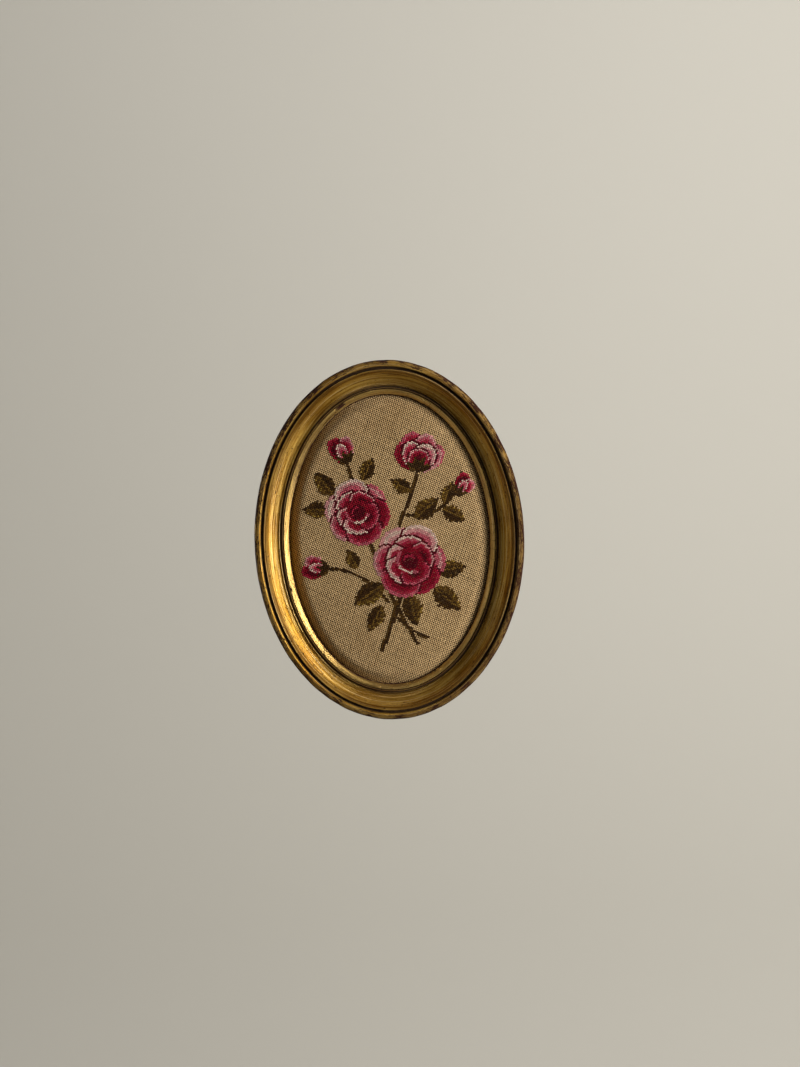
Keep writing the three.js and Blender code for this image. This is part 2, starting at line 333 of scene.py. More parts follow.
def gilt_material():
    """Old gold leaf over red-brown bole: turned lines, wear to the bole, dark glaze in the grooves, and
    painted shade on the right and at the bottom.
    """
    leaf_deep, leaf_light = (0.22, 0.105, 0.010, 1), (0.42, 0.26, 0.055, 1)
    leaf_cloud, leaf_grain = (0.19, 0.080, 0.007, 1), (0.13, 0.060, 0.008, 1)
    line_light, line_dark = (0.60, 0.44, 0.20, 1), (0.10, 0.045, 0.006, 1)
    lip_light = (0.80, 0.62, 0.28, 1)
    bole_dark, bole_light = (0.010, 0.004, 0.003, 1), (0.040, 0.013, 0.006, 1)
    glaze_dark, glaze_light = (0.006, 0.003, 0.003, 1), (0.038, 0.022, 0.018, 1)
    speck_colour, crack_colour = (0.03, 0.015, 0.01, 1), (0.025, 0.010, 0.008, 1)
    wood_dark, wood_light = (0.10, 0.055, 0.025, 1), (0.24, 0.145, 0.07, 1)

    paint = Paint("old_gilt")
    x, _, z = paint.add("ShaderNodeSeparateXYZ", {0: paint.place}).outputs[:3]
    upward = paint.plus(z, CENTRE_BELOW_ORIGIN * MM)
    clock = paint.math("ARCTAN2", x, upward)
    sine, cosine = paint.math("SINE", clock), paint.math("COSINE", clock)
    inset, wear, glaze_and_painted_shade, raw = (paint.attribute(name) for name in ("inset", "wear", "glaze_and_painted_shade", "raw_wood"))

    def round_noise(across, along, detail, rough):
        """Noise with so many cells for a millimetre of inset, and so many for a radian round the frame."""
        coordinates = (paint.times(sine, along), paint.times(cosine, along))
        return paint.noise(1.0, detail, rough, paint.vector(paint.times(inset, across), *coordinates))

    streaks = round_noise(1.1, 3.0, 4.0, 0.6)
    turning = round_noise(3.2, 1.6, 2.0, 0.5)
    flakes = round_noise(1.4, 42.0, 4.0, 0.62)
    dashes = round_noise(3.4, 26.0, 3.0, 0.6)
    cloudy = paint.noise(55.0, 3.0, 0.55)
    grain = paint.noise(1100.0, 3.0, 0.6)

    gold = paint.mix(paint.band(streaks, 0.34, 0.66), leaf_deep, leaf_light)
    gold = paint.mix(paint.band(cloudy, 0.42, 0.72, 0.0, 0.6), gold, leaf_cloud)
    gold = paint.mix(paint.band(turning, 0.54, 0.66, 0.0, 0.55), gold, line_light)
    gold = paint.mix(paint.band(turning, 0.30, 0.44, 0.8, 0.0), gold, line_dark)
    gold = paint.mix(paint.band(inset, LIP_START - 0.3, LIP_START + 0.3, 0.0, 0.2), gold, lip_light)
    gold = paint.mix(paint.band(grain, 0.50, 0.72, 0.0, 0.35), gold, leaf_grain)

    broken = paint.plus(wear, paint.times(paint.math("SUBTRACT", flakes, 0.5), 1.2))
    broken = paint.plus(broken, paint.times(paint.math("SUBTRACT", dashes, 0.5), 2.0))
    bare = paint.band(broken, 0.43, 0.52)
    bole = paint.mix(paint.noise(420.0, 3.0), bole_dark, bole_light)
    # This attribute holds both the dark glaze of the hollows and the painted shade on the right and below
    stain = paint.times(glaze_and_painted_shade, paint.band(flakes, 0.34, 0.66, 1.0, 0.85))
    rim_lines = paint.band(round_noise(4.5, 9.0, 3.0, 0.65), 0.50, 0.60, 0.0, 0.85)
    stain = paint.most(stain, paint.times(rim_lines, paint.band(wear, 0.2, 0.4)))
    glaze = paint.mix(paint.noise(160.0, 2.0), glaze_dark, glaze_light)
    specks = dark_specks(paint)
    cracks = hairline_cracks(paint, clock, inset)
    wood_lines = paint.noise(1.0, 4.0, 0.6, paint.vector(paint.times(x, 900.0), upward))

    colour = paint.mix(stain, gold, glaze)
    colour = paint.mix(bare, colour, bole)
    colour = paint.mix(specks, colour, speck_colour)
    colour = paint.mix(cracks, colour, crack_colour)
    colour = paint.mix(raw, colour, paint.mix(wood_lines, wood_dark, wood_light))

    dull = paint.most(bare, cracks, specks, raw, paint.times(stain, 0.95))
    metal = paint.band(dull, 0.0, 1.0, 0.94, 0.0)
    sheen = paint.plus(paint.band(streaks, 0.3, 0.7, 0.26, 0.40), paint.times(dull, 0.45))
    handled = paint.band(inset, 13.4, 15.0, 0.10, 0.0)
    sheen = paint.plus(sheen, handled)

    relief = paint.plus(paint.times(turning, 1.4), paint.times(streaks, 0.6))
    normal = paint.bump(relief, 0.00026, 0.85)
    normal = paint.bump(paint.plus(grain, paint.times(flakes, 2.0)), 0.00007, 0.8, normal)
    cuts = paint.most(paint.times(bare, 0.6), cracks)
    normal = paint.bump(paint.math("SUBTRACT", 1.0, cuts), 0.00022, 0.9, normal)
    paint.set(Base_Color=colour, Metallic=metal, Roughness=sheen, Normal=normal, Specular_IOR_Level=0.06)
    return paint.material


def thread_material(name, angle):
    """Linen thread: fibres along it, a tone of its own, and painted shade where it dives, which leaves its
    crowns lighter.
    """
    paint = Paint(name)
    fibres = paint.fibres(angle, 9000.0, 1200.0)
    slubs = paint.fibres(angle, 800.0, 120.0, 2.0, 0.5)
    colour = paint.mix(paint.band(fibres, 0.3, 0.7), srgb(196, 162, 112), srgb(238, 205, 154))
    colour = paint.mix(paint.band(slubs, 0.42, 0.66, 0.0, 0.25), colour, srgb(150, 118, 74))
    colour = paint.toned(colour, paint.band(paint.attribute("tone"), 0.0, 1.0, 0.93, 1.06))
    # Painted shade: near black where the thread dives under the other set, and along the slack thread
    colour = paint.mix(paint.attribute("low"), colour, srgb(36, 21, 6))
    age = paint.noise(26.0, 2.0)
    colour = paint.mix(paint.band(age, 0.5, 0.75, 0.0, 0.3), colour, srgb(126, 94, 52))
    # Painted gold reflection of the lip, in the shaded band by the lip at the lower left
    colour = paint.mix(paint.attribute("painted_lip_reflection"), colour, srgb(230, 154, 12))
    normal = paint.bump(fibres, 0.00006, 0.8)
    paint.set(Base_Color=colour, Roughness=0.92, Normal=normal, Specular_IOR_Level=0.06)
    return paint.material


def darkened(colour, share):
    """A share of a linear colour."""
    return tuple(part * share for part in colour[:3]) + (1.0,)


def yarn_material(name, colour):
    """Soft embroidery yarn: plies along the stitch, a small change of tone from stitch to stitch, and
    painted shade on its sides and ends.
    """
    paint = Paint(name)
    stitch_angle = (WEFT_ANGLE + WARP_ANGLE) / 2
    plies = paint.fibres(-stitch_angle, 6500.0, 900.0)
    mixed = paint.mix(paint.band(plies, 0.30, 0.70, 0.75, 0.0), colour, darkened(colour, 0.5))
    # Painted shade on the yarn's sides and at its ends, where it goes into the canvas
    mixed = paint.mix(paint.attribute("low"), mixed, darkened(colour, 0.25))
    mixed = paint.toned(mixed, paint.band(paint.attribute("tone"), 0.0, 1.0, 0.74, 1.22))
    normal = paint.bump(plies, 0.00007, 0.9)
    paint.set(Base_Color=mixed, Roughness=0.85, Normal=normal, Specular_IOR_Level=0.1)
    return paint.material


def ground_material():
    """The shade between the threads of the canvas, where the padding under it shows a little."""
    paint = Paint("canvas_ground")
    blotch = paint.noise(300.0, 3.0)
    colour = paint.mix(blotch, srgb(24, 13, 2), srgb(44, 27, 8))
    normal = paint.bump(blotch, 0.00005)
    paint.set(Base_Color=colour, Roughness=0.95, Normal=normal, Specular_IOR_Level=0.05)
    return paint.material


def board_material():
    """Grey-brown card with flecks of fibre and a few faint stains."""
    paint = Paint("card_board")
    fleck = paint.noise(1600.0, 2.0, 0.7)
    cloud = paint.noise(28.0, 4.0)
    stain = paint.band(paint.noise(14.0, 3.0, 0.6, distortion=0.6), 0.56, 0.64)
    colour = paint.mix(cloud, srgb(118, 98, 72), srgb(150, 130, 98))
    colour = paint.mix(paint.band(fleck, 0.60, 0.72, 0.0, 0.5), colour, srgb(82, 66, 46))
    colour = paint.mix(paint.times(stain, 0.3), colour, srgb(96, 70, 42))
    relief = paint.plus(fleck, paint.times(cloud, 2.0))
    paint.set(Base_Color=colour, Roughness=0.9, Normal=paint.bump(relief, 0.00008))
    return paint.material


def hanger_material():
    """Thin pressed brass with brushed lines and brown tarnish."""
    paint = Paint("hanger_brass")
    brushed = paint.fibres(0.0, 4000.0, 150.0)
    tarnish = paint.band(paint.noise(240.0, 4.0, 0.65), 0.42, 0.66)
    colour = paint.mix(tarnish, srgb(196, 164, 96), srgb(110, 82, 44))
    rough = paint.plus(paint.band(brushed, 0.3, 0.7, 0.24, 0.40), paint.times(tarnish, 0.25))
    paint.set(Base_Color=colour, Metallic=0.95, Roughness=rough, Normal=paint.bump(brushed, 0.00003))
    return paint.material


# The frame

FRONT_STEP = 0.6  # greatest distance of the section's points where the front shows
HIDDEN_STEP = 3.0
TURNS = 560
# Zones of the section: insets from its outer edge, and heights
RIM_END = 3.75
RIM_FOOT = 15.0
SIDE_END = 3.4
BEVEL_INSET = 3.45
QUIRK_END = 5.7
COVE_EDGE = 6.0
GROOVES_START, GROOVES_END = 13.8, 16.0
RIDGE_INSET = 15.25
LIP_START = 15.9
SIDE_SEEN_FROM = 5.0
# Places round the frame, as clock angles in degrees
WORN_LEFT, WORN_RIGHT = 304, 80
# Where painted shade on the frame is strongest: the right and the bottom
SHADE_RIGHT, SHADE_BELOW = 85, 160
CHIP, SMALL_CHIP = 334.5, 252


def arc(inset, height, across, up, start, end, steps):
    """Points of an elliptical arc in the section. Angle 0 points outwards, a right angle to the front."""
    angles = np.linspace(start, end, steps + 1)
    return [(inset - across * math.cos(angle), height + up * math.sin(angle)) for angle in angles]


def moulding_section():
    """Insets and heights of the points of the closed section, with its corners a little eased."""
    quarter = math.pi / 2
    rim_round = 3.0
    thumb = arc(rim_round, FRAME_DEPTH - rim_round, rim_round, rim_round, 0, quarter, 10)
    bevel = [(3.3, FRAME_DEPTH - 0.06), (3.7, FRAME_DEPTH - 0.32)]
    quirk_and_fillet = [(3.8, 19.2), (3.95, 17.2), (4.9, 17.2), (5.3, 19.0), (5.8, 19.2)]
    cove = arc(13.2, 18.9, 7.2, 7.3, 0, -quarter, 16)
    ridges_and_lip = [
        (13.3, 12.1),
        (13.6, 12.1),
        (13.9, 10.7),
        (14.4, 10.7),
        (15.1, 12.0),
        (15.4, 12.0),
        (15.6, 11.1),
        (15.8, 11.1),
        (16.0, 12.0),
        (16.8, 11.7),
        (18.0, 10.7),
    ]
    sight = [(SIGHT_INSET, REBATE_DEPTH + SIGHT_EDGE), (SIGHT_INSET, REBATE_DEPTH)]
    rebate = [(REBATE_INSET, REBATE_DEPTH), (REBATE_INSET, 0)]
    outer_side = [(3.2, 0), (2.2, 5), (1.1, 11), (0.3, 15)]
    front = thumb + bevel + quirk_and_fillet + cove + ridges_and_lip + sight
    corners = np.array(front + rebate + outer_side, float)
    points = []
    stay = 0.75  # each corner is cut to two points, which lie this near to it
    for k, corner in enumerate(corners):
        following = corners[(k + 1) % len(corners)]
        step = FRONT_STEP if k < len(front) - 1 else HIDDEN_STEP
        pieces = max(1, math.ceil(np.linalg.norm(following - corner) / step))
        points += [corner + (following - corner) * n / pieces for n in range(pieces)]
    points = np.array(points)
    ahead = np.roll(points, -1, axis=0)
    cut = [stay * points + (1 - stay) * ahead, (1 - stay) * points + stay * ahead]
    return np.stack(cut, 1).reshape(-1, 2)


def waves(clock, seed, lowest, highest, count):
    """A smooth random line round the frame, from about -1 to 1, that closes on itself."""
    rng = np.random.default_rng(seed)
    total = np.zeros_like(clock)
    for cycles in rng.integers(lowest, highest + 1, count):
        total += rng.normal(0, 1) * np.sin(cycles * clock + rng.uniform(0, 2 * math.pi))
    return total / np.sqrt(count) / 1.2


def near(value, centre, half_width, power=0.8):
    """1 at the centre, falling smoothly to 0 at half_width on either side."""
    return np.clip(1 - np.abs(value - centre) / half_width, 0, 1) ** power


def plateau(value, low, high, ease=0.25):
    """1 between low and high, falling to 0 over a short ease inside each end."""
    return np.clip(np.minimum(value - low, high - value) / ease, 0, 1)


def around(clock, degrees, half_width, power=0.8):
    """1 at a place round the frame, falling to 0 at so many degrees on either side."""
    return near((np.degrees(clock) - degrees + 180) % 360 - 180, 0, half_width, power)


def frame_marks(clock, inset, height):
    """Wear of the leaf, and dark glaze with painted shade, from 0 to about 1, and depth of dents and chips
    in millimetres.
    """
    on_rim = (inset < RIM_END) & (height > RIM_FOOT)
    on_side = (inset < SIDE_END) & (height <= RIM_FOOT)
    on_lip = (inset > LIP_START) & (height > REBATE_DEPTH + 0.5)
    # Where the painted shade lies round the frame: the right side and the bottom
    right, under = around(clock, SHADE_RIGHT, 75), around(clock, SHADE_BELOW, 65)
    bevel = near(inset, BEVEL_INSET, 0.5) * on_rim
    # The bevel stays clean bright gold except on the right, where it gets painted shade instead
    burnished = bevel * (1 - right)

    # Glaze: all of it in the quirk and the grooves, some on the rim, the bevel and the cove's outer edge,
    # with painted shade
    in_quirk = plateau(inset, RIM_END, QUIRK_END, 0.15) * (height > 16)
    ridge_top = 0.45 * near(inset, RIDGE_INSET, 0.25)
    in_grooves = (plateau(inset, GROOVES_START, GROOVES_END) - ridge_top) * (height > 9.5)
    # Dirt on the rim all round, with painted shade added on the right, at the bottom and on the bevel at the
    # right
    grime_and_painted_shade = (0.32 + 0.30 * right + 0.35 * under) * on_rim * (1 - burnished) + 0.5 * bevel * right
    # The cove's outer edge: dark glaze all round, and painted shade on the right
    grime_and_painted_shade = grime_and_painted_shade + (0.2 + 0.6 * right) * near(inset, COVE_EDGE, 0.6)
    glaze = np.maximum(np.maximum(in_quirk, in_grooves), grime_and_painted_shade)

    # Wear: the rim all round, most from nine to eleven o'clock, less on the side and on the small edges
    heavy = 0.22 * around(clock, WORN_LEFT, 40) + 0.12 * around(clock, WORN_RIGHT, 60)
    patches = waves(clock, 3, 20, 70, 14)
    wear = on_rim * (0.37 + heavy + 0.13 * patches + 0.16 * near(inset, 0.0, 1.0))
    wear = wear + (inset < 1.5) * near(height, 18.2, 1.3) * (0.2 + 0.14 * patches)
    wear = wear + on_side * (0.24 + 0.16 * patches + 0.08 * (1 - height / 16.5))
    # The lip's inner edge and sight face are darkened to bare bole all round: painted shade along the sight
    # edge
    wear = wear + 0.8 * np.clip((inset - 18.5) / 0.3, 0, 1) * (height > 8.4)
    edges = near(inset, 5.5, 0.7) * (height > 18) + near(inset, 13.4, 0.4) + near(inset, 15.3, 0.4)
    wear = wear + edges * (0.26 + 0.16 * waves(clock, 6, 15, 60, 10))
    wear = wear + near(inset, 16.1, 0.5) * (height > 11) * (0.16 + 0.14 * waves(clock, 7, 10, 50, 10))
    wear = wear + 0.12 * (wear == 0) * (height > SIDE_SEEN_FROM)

    # Two chips in the lip, and dents where the rim is worn
    chip = around(clock, CHIP, 3.2, 0.5) * near(inset, 16.5, 1.8) * on_lip
    small_chip = around(clock, SMALL_CHIP, 1.6, 1.0) * near(inset, 16.2, 1.0) * on_lip
    wear = wear * (1 - 0.7 * burnished) + 1.1 * chip + 0.9 * small_chip
    sunk = 0.3 * on_rim * np.clip(wear - 0.30, 0, 0.6) + 0.7 * chip + 0.35 * small_chip
    return wear, glaze, sunk


def gilt_frame():
    """The frame: one mesh turned from its section, uneven as old turned wood is."""
    section = moulding_section()
    clock = np.linspace(0, 2 * math.pi, TURNS, endpoint=False)[:, None]
    inset, height = section[:, 0][None, :], section[:, 1][None, :]
    wear, glaze, sunk = frame_marks(clock, inset, height)

    along = np.roll(section, -1, axis=0) - np.roll(section, 1, axis=0)
    along /= np.linalg.norm(along, axis=1)[:, None]
    relief = 0.05 * waves(clock, 11, 2, 9, 6) * (height > SIDE_SEEN_FROM) - sunk
    inset_moved = np.maximum(inset - along[:, 1] * relief, 0)
    height_moved = np.minimum(height + along[:, 0] * relief, FRAME_DEPTH)
    points = turned_points(clock, HALF_WIDTH - inset_moved, height_moved)
    faces = grid_faces(TURNS, len(section), wrap_rows=True, wrap_columns=True)
    piece = make_mesh("gilt_frame", points, faces, gilt_material())

    whole = np.ones((TURNS, len(section)))
    raw = (height < 0.6) | ((inset > REBATE_INSET - 0.5) & (height < REBATE_DEPTH + 0.01))
    set_attribute(piece, "inset", inset * whole)
    set_attribute(piece, "wear", np.clip(wear, 0, 1.2) * whole)
    set_attribute(piece, "glaze_and_painted_shade", glaze * whole)
    set_attribute(piece, "raw_wood", raw * whole)
    return piece


# The cloth under the threads

def canvas_ground():
    """The stretched sheet behind the threads, with its edge turned back over the board."""
    rings, turns = 48, 160
    level = CLOTH_RIM_HEIGHT - 2 * WEAVE_LEVEL
    inner = CLOTH_RADIUS - CLOTH_THICKNESS
    inner_rim = CLOTH_RIM_HEIGHT - CLOTH_THICKNESS
    radii = CROWN_RADIUS * np.sin(np.linspace(0, math.pi / 2, rings + 1))
    front = [(r, level + crown(r)) for r in radii]
    edge = [
        (CLOTH_RADIUS - FOLD_RADIUS, level),
        (CLOTH_RADIUS - 0.35 * FOLD_RADIUS, level - 0.2),
        (CLOTH_RADIUS, level - 0.9),
        (CLOTH_RADIUS, BACK_RECESS),
        (inner, BACK_RECESS),
        (inner, inner_rim),
    ]
    shrunk = (CROWN_RADIUS - CLOTH_THICKNESS) / CROWN_RADIUS
    back = [(r, inner_rim + crown(r, CLOTH_THICKNESS)) for r in radii[::-1] * shrunk]
    section = np.array(front + edge + back)
    clock = np.linspace(0, 2 * math.pi, turns, endpoint=False)[:, None]
    points = turned_points(clock, section[:, 0][None, :], section[:, 1][None, :])
    faces = grid_faces(turns, len(section), wrap_rows=True)
    piece = make_mesh("canvas_ground", points, faces[:, ::-1], ground_material())
    weld(piece)
    return piece


# The weave

def on_cloth(u, v):
    """Places on the cloth, from thread numbers along the weft and the warp, with its sway."""
    x = PITCH * (u * math.cos(WEFT_ANGLE) + v * math.cos(WARP_ANGLE))
    z = PITCH * (u * math.sin(WEFT_ANGLE) + v * math.sin(WARP_ANGLE))
    return x + WEAVE_SWAY * np.sin(math.pi * z / (CROWN_RADIUS + OVALITY)), z


def painted_lip_reflection(x, z):
    """Painted gold reflection of the lip on the cloth where its shoulder lies in shade: a band by the lip,
    widest and strongest at the lower left.
    """
    clock = np.arctan2(x, z)
    left = around(clock, LIP_REFLECTION_CLOCK, 85, 0.7)
    inwards = CROWN_RADIUS - turned_radius(x, z)
    return 0.8 * left * np.clip(1 - inwards / (2.0 + 4.5 * left), 0, 1) ** 0.7


def tube_faces(count):
    """Faces of one thread or yarn of count stations, without its two ends."""
    return grid_faces(count, TUBE_CORNERS, wrap_columns=True)


def weave_threads(name, is_weft, parity, material, seed):
    """Every second thread of one set, each going over and under the threads of the other set."""
    rng = np.random.default_rng(seed)
    all_points, all_faces, tones, painted_shades, lip_reflections = [], [], [], [], []
    start = 0
    limit = CROWN_RADIUS + THREAD_REACH
    angle = np.linspace(0, math.pi, TUBE_CORNERS)
    above = (1 + THREAD_BELLY) * np.sin(angle) - THREAD_BELLY
    for number in range(-GRID_REACH, GRID_REACH + 1):
        if number % 2 != parity:
            continue
        steps = np.arange(-2 * GRID_REACH, 2 * GRID_REACH + 1) / 2
        fixed = np.full(len(steps), float(number))
        x, z = on_cloth(steps, fixed) if is_weft else on_cloth(fixed, steps)
        inside = (x / limit) ** 2 + (z / (limit + OVALITY)) ** 2 < 1
        if inside.sum() < 3:
            continue
        steps, fixed = steps[inside], fixed[inside]

        # Each thread strays a little from its line, and its width swells and shrinks
        stray = 0.05 * np.sin(steps * rng.uniform(0.05, 0.2) + rng.uniform(0, 6)) + rng.normal(0, 0.025)
        x, z = on_cloth(steps, fixed + stray) if is_weft else on_cloth(fixed + stray, steps)
        ahead = np.gradient(np.stack([x, z], 1), axis=0)
        ahead /= np.linalg.norm(ahead, axis=1)[:, None]
        wave = (1 if is_weft else -1) * THREAD_WAVE * np.cos(math.pi * (steps + number))
        slub = 1 + 0.10 * np.sin(steps * rng.uniform(0.1, 0.5) + rng.uniform(0, 6)) + rng.normal(0, 0.05)
        slack = np.clip(np.minimum(steps - SLACK_FROM, SLACK_TO - steps) / SLACK_EASE, 0, 1)
        slack = (is_weft and number == SLACK_WEFT) * slack

        across = np.cos(angle) * (THREAD_HALF_WIDTH * (slub - 0.3 * slack))[:, None]
        px = x[:, None] - ahead[:, 1][:, None] * across
        pz = z[:, None] + ahead[:, 0][:, None] * across
        up = wave[:, None] + THREAD_HALF_THICKNESS * above
        all_points.append(place(px, pz, cloth_height(px, pz) - WEAVE_LEVEL + up).reshape(-1, 3))
        all_faces.append(tube_faces(len(steps)) + start)
        tones.append(np.full(px.size, rng.uniform(0.1, 0.9)))
        # Painted shade, deepest where the thread dives, and along the slack thread
        painted_dive_shade = np.clip(0.95 - up / (THREAD_WAVE + THREAD_HALF_THICKNESS), 0, 1)
        painted_shades.append(np.maximum(painted_dive_shade, 0.6 * slack[:, None]).ravel())
        # Painted gold reflection of the lip on the cloth's shaded edge
        lip_reflections.append(painted_lip_reflection(px, pz).ravel())
        start += px.size
    piece = make_mesh(name, np.concatenate(all_points), np.concatenate(all_faces), material)
    set_attribute(piece, "tone", np.concatenate(tones))
    set_attribute(piece, "low", np.concatenate(painted_shades))
    set_attribute(piece, "painted_lip_reflection", np.concatenate(lip_reflections))
    return piece


# The motif: which yarn each stitch has

def local(x, z, cx, cz, angle, length, width):
    """Along and across a part of the motif: from 0 at its foot to 1 at its tip, and from -1 to 1 across."""
    cosine, sine = math.cos(math.radians(angle)), math.sin(math.radians(angle))
    right, up = x - cx, z - cz
    return (right * cosine + up * sine) / length, (up * cosine - right * sine) / (width / 2)


def petal(yarn, x, z, cx, cz, angle, length, width, tones, edge=WINE):
    """A petal from its foot, with tones from its rim inwards and a dark line where it lies on another."""
    grow = 1.0 + 1.5 / length
    for swell in (grow, 1.0):
        along, across = local(x, z, cx, cz, angle, length, width * swell)
        outwards = np.hypot((along - 0.54) / (0.5 * swell), across * (0.82 + 0.24 * (1 - along)))
        inside = outwards < 1
        if swell > 1:
            covered = (yarn >= CREAM) & (yarn <= WINE)
            yarn[inside & covered & (along > 0.1)] = edge
        else:
            rim = outwards + 0.25 * (along - 0.5)
            bands = np.select([rim > 0.93, rim > 0.72, rim > 0.46], [0, 1, 2], 3)
            yarn[inside] = np.array(tones)[bands[inside]]


OUTER_PETALS = (
    (150, 1.02, 0.95, (PALE, CREAM, PALE, PINK)),
    (25, 0.98, 0.92, (PINK, PALE, PINK, ROSE)),
    (88, 1.04, 1.00, (CREAM, PALE, PINK, ROSE)),
    (205, 1.00, 0.90, (PALE, PINK, ROSE, CRIMSON)),
    (330, 0.98, 0.95, (ROSE, CRIMSON, CRIMSON, WINE)),
    (268, 1.02, 1.05, (PINK, ROSE, CRIMSON, WINE)),
)
INNER_PETALS = (
    (115, 0.70, 0.80, (CREAM, PINK, ROSE, CRIMSON)),
    (45, 0.66, 0.74, (PALE, ROSE, CRIMSON, WINE)),
    (190, 0.66, 0.70, (CREAM, PALE, ROSE, CRIMSON)),
    (250, 0.66, 0.86, (CREAM, PALE, ROSE, CRIMSON)),
    (320, 0.64, 0.80, (PINK, ROSE, CRIMSON, WINE)),
)
HALF_ROSE_PETALS = (
    (38, 0.95, 0.62, (ROSE, CRIMSON, CRIMSON, WINE)),
    (-40, 0.95, 0.60, (PINK, PALE, PINK, ROSE)),
    (14, 1.12, 0.66, (PINK, ROSE, CRIMSON, WINE)),
    (-12, 1.10, 0.60, (PALE, PINK, ROSE, CRIMSON)),
    (20, 0.86, 0.58, (CREAM, PINK, ROSE, CRIMSON)),
    (-20, 0.80, 0.62, (CREAM, PALE, PINK, ROSE)),
    (0, 0.62, 0.56, (PALE, ROSE, CRIMSON, WINE)),
)


def rose(yarn, x, z, cx, cz, size, turn):
    """An open rose: outer petals, inner petals, and a cup with a rolled rim and a dark heart."""
    for angle, length, width, tones in OUTER_PETALS + INNER_PETALS:
        petal(yarn, x, z, cx, cz, angle + turn, length * size, width * size, tones)
    along, across = local(x, z, cx, cz, 90 + turn, 0.36 * size, 0.8 * size)
    outwards = np.hypot(along - 0.05, across)
    swirl = np.arctan2(along, across)
    cup = outwards < 1
    yarn[cup] = CRIMSON
    yarn[cup & (outwards > 0.78) & (swirl > -2.6) & (swirl < 0.5)] = PINK
    yarn[cup & (outwards > 0.8) & (swirl > -2.2) & (swirl < -0.9)] = CREAM
    yarn[cup & (outwards < 0.62)] = WINE
    yarn[cup & (outwards > 0.34) & (outwards < 0.5) & (swirl > -0.3) & (swirl < 2.2)] = ROSE


def half_rose(yarn, x, z, cx, cz, size, angle):
    """A half-open rose seen from its side, with its sepals at the foot."""
    for lean, length, width, tones in HALF_ROSE_PETALS:
        petal(yarn, x, z, cx, cz, angle + lean, length * size, width * size, tones)
    for lean in (-62, -24, 16, 58):
        leaf(yarn, x, z, cx, cz, angle + lean, 0.46 * size, 0.2 * size, teeth=0)


def bud(yarn, x, z, cx, cz, size, angle):
    """A closed bud with one turned petal and its sepals."""
    petal(yarn, x, z, cx, cz, angle + 13, size, 0.56 * size, (ROSE, CRIMSON, WINE, WINE))
    petal(yarn, x, z, cx, cz, angle - 14, 0.94 * size, 0.50 * size, (PALE, PINK, ROSE, CRIMSON))
    petal(yarn, x, z, cx, cz, angle + 2, 0.74 * size, 0.34 * size, (CREAM, PALE, PINK, ROSE), edge=CRIMSON)
    for lean in (-40, 0, 38):
        leaf(yarn, x, z, cx, cz, angle + lean, 0.52 * size, 0.2 * size, teeth=0)


def leaf(yarn, x, z, cx, cz, angle, length, width, teeth=5, light=0.0):
    """A pointed leaf with a toothed edge, a vein and one lighter half."""
    along, across = local(x, z, cx, cz, angle, length, width)
    body = np.sin(np.pi * np.clip(along, 0, 1) ** 0.8)
    saw = 1 - 0.2 * ((along * teeth) % 1) if teeth else 1
    inside = (along > 0) & (along < 1) & (np.abs(across) < body * saw)
    depth = np.abs(across) / np.maximum(body, 0.05)
    upper = across > 0
    yarn[inside] = LEAF_DARK
    yarn[inside & upper & (depth > 0.25)] = LEAF
    if teeth:
        vein_side = (along * 6 + 1.2 * np.abs(across)) % 1 < 0.42
        yarn[inside & upper & (depth > 0.3) & vein_side] = LEAF_GOLD
        yarn[inside & upper & (depth > 0.55) & (along + light > 0.45) & vein_side] = LEAF_LIGHT
        yarn[inside & ~upper & (depth > 0.5) & vein_side] = LEAF
        yarn[inside & (np.abs(across) * width / 2 < 0.55) & (along < 0.85)] = LEAF_GOLD


def stem(yarn, x, z, points, width):
    """A stem along a smooth curve drawn by a few points, lighter on its left side."""
    points = np.array(points, float)
    way = np.linspace(0, 1, 60)[:, None]
    last = len(points) - 1
    weights = [math.comb(last, k) * way**k * (1 - way) ** (last - k) for k in range(last + 1)]
    line = sum(weight * point for weight, point in zip(weights, points))
    gap = np.hypot(x[:, None] - line[:, 0], z[:, None] - line[:, 1])
    nearest = gap.argmin(1)
    inside = gap.min(1) < width / 2
    yarn[inside] = LEAF_DARK
    yarn[inside & (x < line[nearest, 0] - 0.1 * width)] = LEAF


# Curve points and width of each stem, in millimetres from the middle of the oval
STEMS = (
    (((-17, 18), (-8, -8), (-2, -30), (14, -58)), 2.2),
    (((10, -14), (6, -30), (2, -42), (-6, -61)), 2.4),
    (((17, 40), (14, 22), (2, 8), (-2, -26)), 2.0),
    (((-22, 44), (-20, 36), (-18, 28), (-17, 20)), 1.7),
    (((-36, -15), (-24, -14), (-12, -20), (-2, -34)), 1.8),
    (((10, 14), (22, 12), (30, 16), (36, 24)), 1.7),
    (((36, 24), (40, 28), (41, 32), (41, 37)), 1.2),
    (((2, -42), (8, -48), (12, -52), (20, -55)), 1.7),
)
# Foot, angle, length, width and how far the light side reaches, of each leaf
LEAVES = (
    (15, 12, 40, 17, 12, 0.0),
    (30, 17, -30, 15, 10, 0.2),
    (31, 20, 66, 13, 8, 0.3),
    (-30, 26, 128, 17, 11, 0.1),
    (-33, 18, 178, 15, 10, 0.3),
    (-14, 34, 62, 14, 9, 0.2),
    (13, 27, 148, 13, 9, 0.1),
    (26, -18, 8, 17, 11, 0.1),
    (24, -27, -42, 20, 13, 0.0),
    (10, -30, -78, 19, 12, 0.0),
    (-4, -24, 214, 21, 13, 0.2),
    (-5, -36, 240, 17, 10, 0.1),
    (-18, -15, 118, 12, 8, 0.3),
)


# Middle or foot, size and angle of each flower
BUDS = ((-34, -15, 15, 172), (-22, 43, 16, 108), (38, 24, 13, 50))
HALF_ROSES = ((17, 38, 19, 84),)
ROSES = ((-17, 16, 17.5, 20), (11, -12, 19.5, -25))


